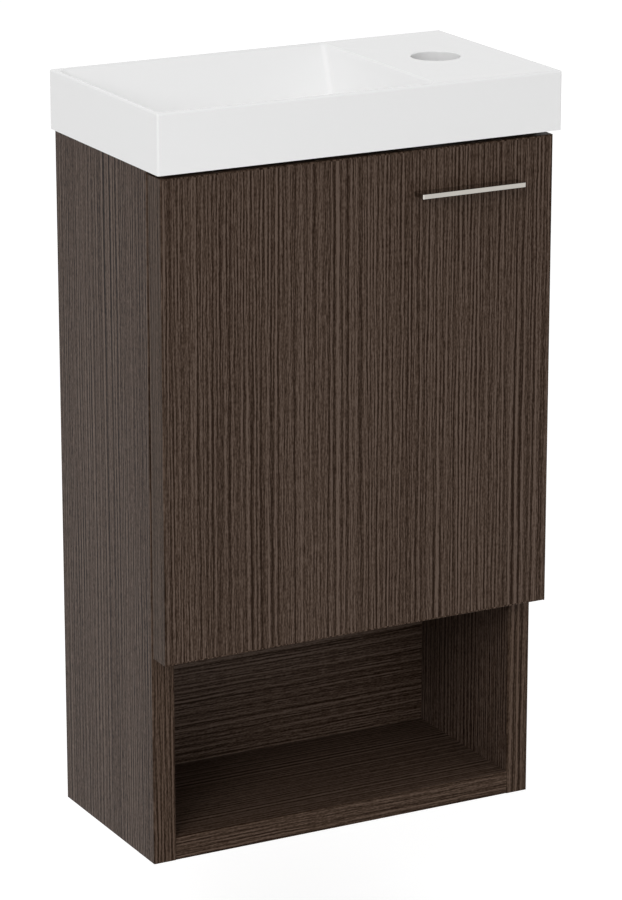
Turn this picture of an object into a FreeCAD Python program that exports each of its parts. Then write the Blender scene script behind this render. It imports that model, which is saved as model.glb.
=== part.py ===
import FreeCAD, Part
import math
import os

# Wall-hung under-sink cabinet with its basin, in millimetres.
# +X is to the right, -Y to the front, +Y to the wall and +Z up.
# The origin is the centre of the carcass underside.

# Carcass
CARCASS_WIDTH = 390.0
CARCASS_DEPTH = 186.5
CARCASS_HEIGHT = 641.0
BOARD = 22.0
RAIL_BOARD = 18.0
FRONT_RAIL_HEIGHT = 50.0
HANGING_RAIL_HEIGHT = 100.0
NICHE_HEIGHT = 177.0
NICHE_BACK_RECESS = 2.0
EDGE_BAND = 1.5
EDGE_BAND_ROUND = 0.8
WALL_SCREW_SPACING = 240.0
WALL_SCREW_HOLE_RADIUS = 4.0
DOWEL_RADIUS = 4.0
DOWEL_IN_SIDE = 12.0
DOWEL_IN_RAIL = 18.0
DOWEL_SPREAD = 0.5
DOWEL_FIT = 0.05
DOWEL_END_PLAY = 0.5

# Basin
BASIN_WIDTH = 400.0
BASIN_DEPTH = 220.0
APRON_HEIGHT = 54.0
APRON_WALL = 14.0
DECK_THICKNESS = 12.0
BASIN_EDGE_RADIUS = 2.0
TAP_DECK_WIDTH = 127.0
BOWL_DEPTH = 72.0
BOWL_LEFT_RIM = 10.0
BOWL_FRONT_RIM = 11.0
BOWL_BACK_RIM = 16.0
BOWL_BACK_SLOPE = 0.6
BOWL_RIGHT_SLOPE = 0.125
BOWL_CLEARANCE = 2.0
BOWL_CORNER_RADIUS = 16.0
BOWL_FLOOR_RADIUS = 12.0
BOWL_RIM_RADIUS = 2.0
BOWL_WALL_RUN = 13.0
BOWL_FLOOR = 10.0
WASTE_HOLE_RADIUS = 23.0
WASTE_DISH_RADIUS = 29.0
WASTE_DISH_DEPTH = 3.0
TAP_HOLE_RADIUS = 22.5
TAP_FROM_RIGHT = 66.5
TAP_FROM_FRONT = 111.0
TAP_EDGE_RADIUS = 1.0

# Door
DOOR_THICKNESS = 25.0
DOOR_GAP = 2.5
DOOR_TOP_GAP = 4.5
DOOR_DROP = 1.5
BUMPER_RADIUS = 4.5
BUMPER_FROM_END = 30.0
BUMPER_CLEARANCE = 0.3

# Handle
HANDLE_DRILLING = 96.0
HANDLE_END_WIDTH = 9.0
HANDLE_HEIGHT = 4.0
HANDLE_PROJECTION = 16.0
HANDLE_TOP = 1.4
HANDLE_LIP = 2.0
HANDLE_CORNER = 1.0
HANDLE_POCKET_CORNER = 3.0
HANDLE_FROM_RIGHT = 89.5
HANDLE_FROM_TOP = 39.0
HANDLE_SCREW_RADIUS = 1.5
HANDLE_SCREW_ENGAGEMENT = 9.0
HANDLE_SCREW_HEAD_RADIUS = 2.8
HANDLE_SCREW_HEAD_HEIGHT = 2.4

# Cup hinge
HINGE_FROM_END = 95.0
CUP_RADIUS = 17.5
CUP_FROM_EDGE = 3.0
CUP_WALL = 0.8
CUP_FLOOR = 0.7
CUP_FIT = 0.1
FLANGE = 1.2
FLANGE_WING_WIDTH = 15.0
FLANGE_WING_ROUND = 5.0
FLANGE_WING_OVERHANG = 7.0
CUP_SCREW_SPACING = 48.0
CUP_SCREW_OFFSET = 6.0
PIN_RADIUS = 1.5
PIN_CHAMFER = 0.3
PIN_DEPTH = 10.5
PIN_FIT = 0.05
PIN_PRESS_FIT = 0.02
KNUCKLE_RADIUS = 2.6
KNUCKLE_WIDTH = 8.0
KNUCKLE_CLEARANCE = 0.3
CHEEK_CLEARANCE = 0.6
ARM_STRIP = 2.8
ARM_OUTER_BEND = 3.6
ARM_INNER_BEND = 0.8
ARM_WIDTH = 15.0
ARM_RISE = 8.5
ARM_SHEET = 1.4
ARM_LENGTH = 64.0
ARM_NOSE = 14.0
PLATE_BASE = 2.5
PLATE_WING_SPAN = 48.0
PLATE_WING_WIDTH = 14.0
PLATE_WING_ROUND = 5.5
PLATE_FROM_FRONT = 37.0
PLATE_RIB_LENGTH = 44.0
PLATE_CLEARANCE = 0.15
PLATE_SCREW_SPACING = 32.0
ARM_SCREW_FROM_FRONT = 50.0
SCREW_RADIUS = 2.0
SCREW_LENGTH = 12.0
SCREW_HEAD_RADIUS = 3.8
SCREW_HEAD_HEIGHT = 1.8
SCREW_HEAD_BEVEL = 0.45
SCREW_FIT = 0.05

# Places worked out from the sizes above
SIDE_OUTER = CARCASS_WIDTH / 2
SIDE_INNER = SIDE_OUTER - BOARD
BACK_Y = CARCASS_DEPTH / 2
FRONT_Y = -CARCASS_DEPTH / 2
BOARD_FRONT_Y = FRONT_Y + EDGE_BAND
SHELF_UNDERSIDE = BOARD + NICHE_HEIGHT
BASIN_TOP = CARCASS_HEIGHT + APRON_HEIGHT
BASIN_FRONT_Y = BACK_Y - BASIN_DEPTH
BASIN_LEFT = -BASIN_WIDTH / 2
DOOR_BACK_Y = FRONT_Y - DOOR_GAP
DOOR_FRONT_Y = DOOR_BACK_Y - DOOR_THICKNESS
DOOR_TOP = CARCASS_HEIGHT - DOOR_TOP_GAP
DOOR_BOTTOM = SHELF_UNDERSIDE - DOOR_DROP
HINGE_HEIGHTS = {"upper": DOOR_TOP - HINGE_FROM_END, "lower": DOOR_BOTTOM + HINGE_FROM_END}
CUP_INNER = CUP_RADIUS - CUP_WALL
CUP_X = -SIDE_OUTER + CUP_FROM_EDGE + CUP_RADIUS
CUP_DEPTH = PIN_DEPTH + KNUCKLE_RADIUS + KNUCKLE_CLEARANCE + CUP_FLOOR
# The knuckle clears the round cup wall at its own two ends
PIN_X = (CUP_X - math.sqrt(CUP_INNER ** 2 - (KNUCKLE_WIDTH / 2) ** 2)
         + KNUCKLE_CLEARANCE + KNUCKLE_RADIUS)
PIN_Y = DOOR_BACK_Y - PIN_DEPTH
ARM_FOOT_X = -SIDE_INNER + PLATE_BASE + PLATE_CLEARANCE
HANDLE_X = SIDE_OUTER - HANDLE_FROM_RIGHT
HANDLE_Z = DOOR_TOP - HANDLE_FROM_TOP
CUP_SCREW_X = CUP_X + CUP_SCREW_OFFSET

UP = FreeCAD.Vector(0, 0, 1)
TO_BACK = FreeCAD.Vector(0, 1, 0)
TO_RIGHT = FreeCAD.Vector(1, 0, 0)


def vector(x, y, z):
    return FreeCAD.Vector(x, y, z)


def block(x_span, y_span, z_span):
    """A straight board or pocket between two corners."""
    size = [span[1] - span[0] for span in (x_span, y_span, z_span)]
    return Part.makeBox(*size, vector(x_span[0], y_span[0], z_span[0]))


def rod(radius, length, start, direction):
    return Part.makeCylinder(radius, length, start, direction)


def extruded_outline(points, radii, z_span):
    """A polygon in the XY plane, each corner rounded by its radius, carried along Z."""
    edges = []
    count = len(points)
    starts = []
    ends = []
    middles = []
    for i in range(count):
        corner = vector(points[i][0], points[i][1], z_span[0])
        before = vector(points[i - 1][0], points[i - 1][1], z_span[0]).sub(corner)
        after = vector(points[(i + 1) % count][0], points[(i + 1) % count][1], z_span[0]).sub(corner)
        before.normalize()
        after.normalize()
        half_angle = before.getAngle(after) / 2
        setback = radii[i] / math.tan(half_angle)
        bisector = before.add(after)
        bisector.normalize()
        to_arc = radii[i] / math.sin(half_angle) - radii[i]
        starts.append(corner.add(before * setback))
        ends.append(corner.add(after * setback))
        middles.append(corner.add(bisector * to_arc))
    for i in range(count):
        if radii[i] > 0:
            edges.append(Part.Arc(starts[i], middles[i], ends[i]).toShape())
        following = starts[(i + 1) % count]
        if ends[i].distanceToPoint(following) > 1e-6:
            edges.append(Part.LineSegment(ends[i], following).toShape())
    face = Part.Face(Part.Wire(edges))
    return face.extrude(vector(0, 0, z_span[1] - z_span[0]))


def rounded_prism(x_span, y_span, radius, z_span):
    """A rectangle with rounded corners carried along Z."""
    points = [(x_span[0], y_span[0]), (x_span[1], y_span[0]),
              (x_span[1], y_span[1]), (x_span[0], y_span[1])]
    return extruded_outline(points, [radius] * 4, z_span)


def edges_at_height(shape, height):
    """The edges that lie wholly in one level plane."""
    tolerance = 1e-4
    return [edge for edge in shape.Edges
            if abs(edge.BoundBox.ZMin - height) < tolerance
            and abs(edge.BoundBox.ZMax - height) < tolerance]


def edge_band(x_span, y_span, z_span):
    """A glued strip with its two long front edges eased."""
    strip = block(x_span, y_span, z_span)
    long_upright = z_span[1] - z_span[0] > x_span[1] - x_span[0]
    fronts = []
    for edge in strip.Edges:
        box = edge.BoundBox
        on_front = abs(box.YMax - y_span[0]) < 1e-4
        upright = box.ZLength > box.XLength
        if on_front and upright == long_upright:
            fronts.append(edge)
    return strip.makeFillet(EDGE_BAND_ROUND, fronts)


def dowel_places(y, z, spread, along):
    """Two dowel centres either side of a board's middle, along Y or Z."""
    if along == "y":
        return [(y - spread, z), (y + spread, z)]
    return [(y, z - spread), (y, z + spread)]


def board_dowels():
    """Dowel centres in each board that stands between the two sides."""
    shelf_z = SHELF_UNDERSIDE + BOARD / 2
    deep_spread = CARCASS_DEPTH / 2 * DOWEL_SPREAD
    niche_z = BOARD + NICHE_HEIGHT / 2
    niche_back_y = BACK_Y - NICHE_BACK_RECESS - BOARD / 2
    rail_z = CARCASS_HEIGHT - FRONT_RAIL_HEIGHT / 2
    hanging_z = CARCASS_HEIGHT - HANGING_RAIL_HEIGHT / 2
    return {
        "bottom_panel": dowel_places(0, BOARD / 2, deep_spread, "y"),
        "niche_shelf": dowel_places(0, shelf_z, deep_spread, "y"),
        "niche_back_panel": dowel_places(niche_back_y, niche_z, NICHE_HEIGHT / 2 * DOWEL_SPREAD, "z"),
        "front_rail": dowel_places(FRONT_Y + RAIL_BOARD / 2, rail_z,
                                   FRONT_RAIL_HEIGHT / 2 * DOWEL_SPREAD, "z"),
        "hanging_rail": dowel_places(BACK_Y - RAIL_BOARD / 2, hanging_z,
                                     HANGING_RAIL_HEIGHT / 2 * DOWEL_SPREAD, "z"),
    }


def dowel_rods(places, fit, play):
    """Rods across both side joints, as dowels or, with fit and play added, as their holes."""
    rods = []
    length = DOWEL_IN_SIDE + DOWEL_IN_RAIL + 2 * play
    for y, z in places:
        for start in (-SIDE_INNER - DOWEL_IN_SIDE - play, SIDE_INNER - DOWEL_IN_RAIL - play):
            rods.append(rod(DOWEL_RADIUS + fit, length, vector(start, y, z), TO_RIGHT))
    return rods


def drilled(board, name):
    return board.cut(dowel_rods(board_dowels()[name], DOWEL_FIT, DOWEL_END_PLAY))


def screw(start, direction, length, radius, head_radius, head_height):
    """A screw with a bevelled head; start is the seat under its head and direction points out of it."""
    head = rod(head_radius, head_height, vector(0, 0, 0), UP)
    head = head.makeChamfer(head_height * SCREW_HEAD_BEVEL, edges_at_height(head, head_height))
    shank = rod(radius, length, vector(0, 0, -length), UP)
    whole = head.fuse(shank)
    whole.Placement = FreeCAD.Placement(start, FreeCAD.Rotation(UP, direction))
    return whole


def plate_screw_places(height):
    half = PLATE_SCREW_SPACING / 2
    y = FRONT_Y + PLATE_FROM_FRONT
    return [vector(-SIDE_INNER + PLATE_BASE, y, height - half),
            vector(-SIDE_INNER + PLATE_BASE, y, height + half)]


def cup_screw_places(height):
    half = CUP_SCREW_SPACING / 2
    return [vector(CUP_SCREW_X, DOOR_BACK_Y + FLANGE, height - half),
            vector(CUP_SCREW_X, DOOR_BACK_Y + FLANGE, height + half)]


def handle_end_places():
    half = HANDLE_DRILLING / 2
    return [vector(HANDLE_X - half, DOOR_BACK_Y, HANDLE_Z), vector(HANDLE_X + half, DOOR_BACK_Y, HANDLE_Z)]


def side_panel(left):
    outer, inner = (-SIDE_OUTER, -SIDE_INNER) if left else (SIDE_INNER, SIDE_OUTER)
    panel = block((outer, inner), (BOARD_FRONT_Y, BACK_Y), (0, CARCASS_HEIGHT))
    holes = []
    for places in board_dowels().values():
        holes += dowel_rods(places, DOWEL_FIT, DOWEL_END_PLAY)
    if left:
        for height in HINGE_HEIGHTS.values():
            for place in plate_screw_places(height):
                holes.append(rod(SCREW_RADIUS + SCREW_FIT, SCREW_LENGTH + SCREW_FIT,
                                 place, -TO_RIGHT))
    return panel.cut(holes)


def side_edge_band(left):
    x_span = (-SIDE_OUTER, -SIDE_INNER) if left else (SIDE_INNER, SIDE_OUTER)
    return edge_band(x_span, (FRONT_Y, BOARD_FRONT_Y), (0, CARCASS_HEIGHT))


def between_sides(y_span, z_span):
    return block((-SIDE_INNER, SIDE_INNER), y_span, z_span)


def bottom_panel():
    return drilled(between_sides((BOARD_FRONT_Y, BACK_Y), (0, BOARD)), "bottom_panel")


def niche_shelf():
    top = SHELF_UNDERSIDE + BOARD
    return drilled(between_sides((BOARD_FRONT_Y, BACK_Y), (SHELF_UNDERSIDE, top)), "niche_shelf")


def level_edge_band(bottom):
    return edge_band((-SIDE_INNER, SIDE_INNER), (FRONT_Y, BOARD_FRONT_Y), (bottom, bottom + BOARD))


def niche_back_panel():
    rear = BACK_Y - NICHE_BACK_RECESS
    return drilled(between_sides((rear - BOARD, rear), (BOARD, SHELF_UNDERSIDE)), "niche_back_panel")


def front_rail():
    z_span = (CARCASS_HEIGHT - FRONT_RAIL_HEIGHT, CARCASS_HEIGHT)
    return drilled(between_sides((FRONT_Y, FRONT_Y + RAIL_BOARD), z_span), "front_rail")


def hanging_rail():
    z_span = (CARCASS_HEIGHT - HANGING_RAIL_HEIGHT, CARCASS_HEIGHT)
    rail = drilled(between_sides((BACK_Y - RAIL_BOARD, BACK_Y), z_span), "hanging_rail")
    height = CARCASS_HEIGHT - HANGING_RAIL_HEIGHT / 2
    holes = []
    for x in (-WALL_SCREW_SPACING / 2, WALL_SCREW_SPACING / 2):
        start = vector(x, BACK_Y - RAIL_BOARD, height)
        holes.append(rod(WALL_SCREW_HOLE_RADIUS, RAIL_BOARD, start, TO_BACK))
    return rail.cut(holes)


def dowels():
    rods = []
    for places in board_dowels().values():
        rods += dowel_rods(places, 0, 0)
    return Part.makeCompound(rods)


def rounded_rectangle(x_span, y_span, radius, z):
    """A closed level wire with four tangent corner arcs."""
    prism = rounded_prism(x_span, y_span, radius, (z, z + 1))
    return Part.Wire(Part.__sortEdges__(edges_at_height(prism, z)))


def bowl_mouth(grow):
    """The bowl's mouth rectangle, grown outwards on every side."""
    left = BASIN_LEFT + BOWL_LEFT_RIM
    right = BASIN_LEFT + BASIN_WIDTH - TAP_DECK_WIDTH
    front = BASIN_FRONT_Y + BOWL_FRONT_RIM
    back = BACK_Y - BOWL_BACK_RIM
    return (left - grow, right + grow), (front - grow, back + grow)


def bowl_floor(grow, depth):
    """The floor rectangle: left and front walls lean in far enough to clear the side and the rail."""
    mouth_x, mouth_y = bowl_mouth(grow)
    outer_x, outer_y = bowl_mouth(BOWL_WALL_RUN)
    left_slope = (-SIDE_INNER + BOWL_CLEARANCE - outer_x[0]) / APRON_HEIGHT
    front_slope = (FRONT_Y + RAIL_BOARD + BOWL_CLEARANCE - outer_y[0]) / APRON_HEIGHT
    floor_x = (mouth_x[0] + left_slope * depth, mouth_x[1] - BOWL_RIGHT_SLOPE * depth)
    floor_y = (mouth_y[0] + front_slope * depth, mouth_y[1] - BOWL_BACK_SLOPE * depth)
    return floor_x, floor_y


def bowl_loft(grow, depth):
    """The tapering bowl between its mouth and its floor, with a rounded floor edge."""
    corner = BOWL_CORNER_RADIUS + grow
    floor_z = BASIN_TOP - depth
    mouth = rounded_rectangle(*bowl_mouth(grow), corner, BASIN_TOP)
    floor = rounded_rectangle(*bowl_floor(grow, depth), corner, floor_z)
    solid = Part.makeLoft([mouth, floor], True, True)
    return solid.makeFillet(BOWL_FLOOR_RADIUS, edges_at_height(solid, floor_z))


def waste_centre():
    floor_x, floor_y = bowl_floor(0, BOWL_DEPTH)
    return sum(floor_x) / 2, sum(floor_y) / 2


def basin():
    """A hollow slab with a lofted bowl hung in it, a tap hole and a dished waste hole."""
    x_span = (BASIN_LEFT, BASIN_LEFT + BASIN_WIDTH)
    y_span = (BASIN_FRONT_Y, BACK_Y)
    slab = rounded_prism(x_span, y_span, BASIN_EDGE_RADIUS, (CARCASS_HEIGHT, BASIN_TOP))
    slab = slab.makeFillet(BASIN_EDGE_RADIUS, edges_at_height(slab, BASIN_TOP))
    hollow = rounded_prism((x_span[0] + APRON_WALL, x_span[1] - APRON_WALL),
                           (y_span[0] + APRON_WALL, y_span[1] - APRON_WALL),
                           BASIN_EDGE_RADIUS, (CARCASS_HEIGHT, BASIN_TOP - DECK_THICKNESS))
    inner_bowl = bowl_loft(0, BOWL_DEPTH)
    outer_bowl = bowl_loft(BOWL_WALL_RUN, BOWL_DEPTH + BOWL_FLOOR)
    below_top = block((x_span[0] + BASIN_EDGE_RADIUS, x_span[1] - BASIN_EDGE_RADIUS),
                      (y_span[0] + BASIN_EDGE_RADIUS, y_span[1] - BASIN_EDGE_RADIUS),
                      (BASIN_TOP - BOWL_DEPTH - BOWL_FLOOR, BASIN_TOP - BASIN_EDGE_RADIUS))
    shell = slab.cut(hollow).fuse(outer_bowl.common(below_top)).removeSplitter()
    shell = shell.cut(inner_bowl)
    mouth_x, mouth_y = bowl_mouth(0)
    rim = [edge for edge in edges_at_height(shell, BASIN_TOP)
           if edge.BoundBox.XMin > mouth_x[0] - 1e-3 and edge.BoundBox.XMax < mouth_x[1] + 1e-3
           and edge.BoundBox.YMin > mouth_y[0] - 1e-3 and edge.BoundBox.YMax < mouth_y[1] + 1e-3]
    shell = shell.makeFillet(BOWL_RIM_RADIUS, rim)
    tap_x = x_span[1] - TAP_FROM_RIGHT
    tap_y = y_span[0] + TAP_FROM_FRONT
    tap_hole = rod(TAP_HOLE_RADIUS, DECK_THICKNESS, vector(tap_x, tap_y, BASIN_TOP - DECK_THICKNESS), UP)
    waste_x, waste_y = waste_centre()
    floor_z = BASIN_TOP - BOWL_DEPTH
    dish = Part.makeCone(WASTE_HOLE_RADIUS, WASTE_DISH_RADIUS, WASTE_DISH_DEPTH,
                         vector(waste_x, waste_y, floor_z - WASTE_DISH_DEPTH), UP)
    waste_hole = rod(WASTE_HOLE_RADIUS, BOWL_FLOOR, vector(waste_x, waste_y, floor_z - BOWL_FLOOR), UP)
    shell = shell.cut([tap_hole, dish, waste_hole])
    tap_edge = [edge for edge in edges_at_height(shell, BASIN_TOP)
                if edge.BoundBox.XMin > tap_x - TAP_HOLE_RADIUS - 1e-3
                and edge.BoundBox.XMax < tap_x + TAP_HOLE_RADIUS + 1e-3]
    return shell.makeFillet(TAP_EDGE_RADIUS, tap_edge)


def door_core_spans():
    return ((-SIDE_OUTER + EDGE_BAND, SIDE_OUTER - EDGE_BAND), (DOOR_FRONT_Y, DOOR_BACK_Y),
            (DOOR_BOTTOM + EDGE_BAND, DOOR_TOP - EDGE_BAND))


def door_panel():
    """The board inside its edge bands, bored for the cups, their screws and the handle."""
    panel = block(*door_core_spans())
    holes = []
    for height in HINGE_HEIGHTS.values():
        holes.append(rod(CUP_RADIUS + CUP_FIT, CUP_DEPTH + CUP_FIT,
                         vector(CUP_X, DOOR_BACK_Y, height), -TO_BACK))
        for place in cup_screw_places(height):
            holes.append(rod(SCREW_RADIUS + SCREW_FIT, SCREW_LENGTH + SCREW_FIT, place, -TO_BACK))
    for place in handle_end_places():
        holes.append(rod(HANDLE_SCREW_RADIUS + SCREW_FIT, DOOR_THICKNESS, place, -TO_BACK))
    return panel.cut(holes)


def eased_frame_strip(x_span, z_span, outer):
    """One door edge band; its two outer long edges are eased."""
    strip = block(x_span, (DOOR_FRONT_Y, DOOR_BACK_Y), z_span)
    axis, value = outer
    corners = []
    for edge in strip.Edges:
        box = edge.BoundBox
        low, high, across = {"x": (box.XMin, box.XMax, box.YLength),
                             "z": (box.ZMin, box.ZMax, box.YLength)}[axis]
        length = box.ZLength if axis == "x" else box.XLength
        if abs(low - value) < 1e-4 and abs(high - value) < 1e-4 and across < 1e-4 and length > EDGE_BAND * 2:
            corners.append(edge)
    return strip.makeFillet(EDGE_BAND_ROUND, corners)


def door_edge_bands():
    core_x, _, core_z = door_core_spans()
    left = eased_frame_strip((-SIDE_OUTER, core_x[0]), (DOOR_BOTTOM, DOOR_TOP), ("x", -SIDE_OUTER))
    right = eased_frame_strip((core_x[1], SIDE_OUTER), (DOOR_BOTTOM, DOOR_TOP), ("x", SIDE_OUTER))
    top = eased_frame_strip(core_x, (core_z[1], DOOR_TOP), ("z", DOOR_TOP))
    bottom = eased_frame_strip(core_x, (DOOR_BOTTOM, core_z[0]), ("z", DOOR_BOTTOM))
    return Part.makeCompound([left, right, top, bottom])


def door_bumpers():
    """Two clear domes on the door's back that meet the right side panel's front edge."""
    height = DOOR_GAP - BUMPER_CLEARANCE
    sphere_radius = (BUMPER_RADIUS ** 2 + height ** 2) / (2 * height)
    x = SIDE_OUTER - BOARD / 2
    domes = []
    for z in (DOOR_BOTTOM + BUMPER_FROM_END, DOOR_TOP - BUMPER_FROM_END):
        centre = vector(x, DOOR_BACK_Y + height - sphere_radius, z)
        ball = Part.makeSphere(sphere_radius, centre, TO_BACK)
        proud = block((x - BUMPER_RADIUS, x + BUMPER_RADIUS), (DOOR_BACK_Y, DOOR_BACK_Y + height),
                      (z - BUMPER_RADIUS, z + BUMPER_RADIUS))
        domes.append(ball.common(proud))
    return Part.makeCompound(domes)


def handle_outline(half_width, front, corner, z_span):
    """A block that starts at the door's face and has two rounded corners in front."""
    points = [(HANDLE_X - half_width, DOOR_FRONT_Y), (HANDLE_X - half_width, front),
              (HANDLE_X + half_width, front), (HANDLE_X + half_width, DOOR_FRONT_Y)]
    return extruded_outline(points, [0, corner, corner, 0], z_span)


def handle():
    """A slim lip pull: a finger pocket goes up behind the lip, and each end takes a screw."""
    front = DOOR_FRONT_Y - HANDLE_PROJECTION
    bottom = HANDLE_Z - HANDLE_HEIGHT / 2
    top = HANDLE_Z + HANDLE_HEIGHT / 2
    body = handle_outline((HANDLE_DRILLING + HANDLE_END_WIDTH) / 2, front, HANDLE_CORNER, (bottom, top))
    cuts = [handle_outline((HANDLE_DRILLING - HANDLE_END_WIDTH) / 2, front + HANDLE_LIP,
                           HANDLE_POCKET_CORNER, (bottom, top - HANDLE_TOP))]
    hole_depth = HANDLE_SCREW_ENGAGEMENT + SCREW_FIT
    for place in handle_end_places():
        mouth = vector(place.x, DOOR_FRONT_Y, place.z)
        cuts.append(rod(HANDLE_SCREW_RADIUS + SCREW_FIT, hole_depth, mouth, -TO_BACK))
    return body.cut(cuts)


def handle_screws():
    length = DOOR_THICKNESS + HANDLE_SCREW_ENGAGEMENT
    return Part.makeCompound([screw(place, TO_BACK, length, HANDLE_SCREW_RADIUS, HANDLE_SCREW_HEAD_RADIUS,
                                    HANDLE_SCREW_HEAD_HEIGHT) for place in handle_end_places()])


def pin_half_length():
    """The pin ends just short of the cup's round wall."""
    return math.sqrt(CUP_INNER ** 2 - (CUP_X - PIN_X) ** 2) - KNUCKLE_CLEARANCE


def hinge_cup(height):
    """A pressed cup with a flange, two screw wings and two cheeks that carry the pin."""
    floor_y = DOOR_BACK_Y - CUP_DEPTH
    mouth_y = DOOR_BACK_Y + FLANGE
    cup = rod(CUP_RADIUS, CUP_DEPTH + FLANGE, vector(CUP_X, floor_y, height), TO_BACK)
    wing_half = CUP_SCREW_SPACING / 2 + FLANGE_WING_OVERHANG
    wing_x = (CUP_SCREW_X - FLANGE_WING_WIDTH / 2, CUP_SCREW_X + FLANGE_WING_WIDTH / 2)
    wings = rounded_prism(wing_x, (-wing_half, wing_half), FLANGE_WING_ROUND, (0, FLANGE))
    wings.Placement = FreeCAD.Placement(vector(0, mouth_y, height), FreeCAD.Rotation(TO_RIGHT, 90))
    cup = cup.fuse(wings).removeSplitter()
    inside_depth = CUP_DEPTH + FLANGE - CUP_FLOOR
    inside = rod(CUP_INNER, inside_depth, vector(CUP_X, floor_y + CUP_FLOOR, height), TO_BACK)
    cheek_start = KNUCKLE_WIDTH / 2 + CHEEK_CLEARANCE
    for z_span in ((height - CUP_INNER, height - cheek_start), (height + cheek_start, height + CUP_INNER)):
        cheek = block((CUP_X - CUP_INNER, PIN_X + KNUCKLE_RADIUS),
                      (floor_y + CUP_FLOOR, PIN_Y + KNUCKLE_RADIUS), z_span)
        inside = inside.cut(cheek)
    cup = cup.cut(inside)
    holes = [rod(SCREW_RADIUS + SCREW_FIT, FLANGE, place, -TO_BACK) for place in cup_screw_places(height)]
    half = pin_half_length() + KNUCKLE_CLEARANCE / 2
    holes.append(rod(PIN_RADIUS + PIN_PRESS_FIT, 2 * half, vector(PIN_X, PIN_Y, height - half), UP))
    return cup.cut(holes)


def hinge_pin(height):
    half = pin_half_length()
    pin = rod(PIN_RADIUS, 2 * half, vector(PIN_X, PIN_Y, height - half), UP)
    rims = edges_at_height(pin, height - half) + edges_at_height(pin, height + half)
    return pin.makeChamfer(PIN_CHAMFER, rims)


def hinge_arm(height):
    """A goose-neck from the pin out of the cup, running back as a channel over the plate."""
    half = ARM_STRIP / 2
    neck_half_width = KNUCKLE_WIDTH / 2
    near = ARM_FOOT_X
    far = ARM_FOOT_X + ARM_STRIP
    nose_y = FRONT_Y + ARM_NOSE
    neck = extruded_outline(
        [(PIN_X, PIN_Y - half), (far, PIN_Y - half), (far, nose_y), (near, nose_y), (near, PIN_Y + half),
         (PIN_X, PIN_Y + half)],
        [0, ARM_OUTER_BEND, 0, 0, ARM_INNER_BEND, 0],
        (height - neck_half_width, height + neck_half_width))
    knuckle = rod(KNUCKLE_RADIUS, KNUCKLE_WIDTH, vector(PIN_X, PIN_Y, height - neck_half_width), UP)
    top = ARM_FOOT_X + ARM_RISE
    arm_end = FRONT_Y + ARM_LENGTH
    start_y = FRONT_Y + DOOR_GAP
    channel = extruded_outline(
        [(near, start_y), (far, start_y), (top, nose_y), (top, arm_end - ARM_RISE / 2), (far, arm_end),
         (near, arm_end)],
        [0, 0, ARM_STRIP, ARM_STRIP, 0, 0], (height - ARM_WIDTH / 2, height + ARM_WIDTH / 2))
    inside = block((near, top - ARM_SHEET), (nose_y, arm_end),
                   (height - ARM_WIDTH / 2 + ARM_SHEET, height + ARM_WIDTH / 2 - ARM_SHEET))
    arm = channel.cut(inside).fuse([neck, knuckle]).removeSplitter()
    bore = rod(PIN_RADIUS + PIN_FIT, KNUCKLE_WIDTH, vector(PIN_X, PIN_Y, height - neck_half_width), UP)
    screw_hole = rod(SCREW_RADIUS + SCREW_FIT, ARM_SHEET,
                     vector(top, FRONT_Y + ARM_SCREW_FROM_FRONT, height), -TO_RIGHT)
    return arm.cut([bore, screw_hole])


def hinge_plate(height):
    """A cross plate on the side panel with a rib that the arm slides over."""
    x0 = -SIDE_INNER
    y = FRONT_Y + PLATE_FROM_FRONT
    wing_half = PLATE_WING_SPAN / 2
    wings = rounded_prism((y - PLATE_WING_WIDTH / 2, y + PLATE_WING_WIDTH / 2), (-wing_half, wing_half),
                          PLATE_WING_ROUND, (0, PLATE_BASE))
    # The outline's X and Y become the plate's Y and Z, and its height becomes X
    wings.Placement = FreeCAD.Placement(vector(x0, 0, height),
                                        FreeCAD.Rotation(vector(1, 1, 1), 120))
    rib_top = ARM_FOOT_X + ARM_RISE - ARM_SHEET - PLATE_CLEARANCE
    rib_half = ARM_WIDTH / 2 - ARM_SHEET - PLATE_CLEARANCE
    rib_start = FRONT_Y + ARM_NOSE + PLATE_CLEARANCE
    rib = block((x0, rib_top), (rib_start, rib_start + PLATE_RIB_LENGTH),
                (height - rib_half, height + rib_half))
    plate = wings.fuse(rib).removeSplitter()
    hole_radius = SCREW_RADIUS + SCREW_FIT
    holes = [rod(hole_radius, PLATE_BASE, place, -TO_RIGHT) for place in plate_screw_places(height)]
    rib_hole = vector(rib_top, FRONT_Y + ARM_SCREW_FROM_FRONT, height)
    holes.append(rod(hole_radius, rib_top - x0, rib_hole, -TO_RIGHT))
    return plate.cut(holes)


def small_screws(places, direction, length):
    return [screw(place, direction, length, SCREW_RADIUS, SCREW_HEAD_RADIUS, SCREW_HEAD_HEIGHT)
            for place in places]


def hinge_plate_screws():
    screws = []
    for height in HINGE_HEIGHTS.values():
        screws += small_screws(plate_screw_places(height), TO_RIGHT, SCREW_LENGTH)
    return Part.makeCompound(screws)


def hinge_cup_screws():
    screws = []
    for height in HINGE_HEIGHTS.values():
        screws += small_screws(cup_screw_places(height), TO_BACK, SCREW_LENGTH)
    return Part.makeCompound(screws)


def hinge_arm_screws():
    top = ARM_FOOT_X + ARM_RISE
    length = top + SIDE_INNER - PLATE_CLEARANCE
    screws = []
    for height in HINGE_HEIGHTS.values():
        screws += small_screws([vector(top, FRONT_Y + ARM_SCREW_FROM_FRONT, height)], TO_RIGHT, length)
    return Part.makeCompound(screws)


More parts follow.
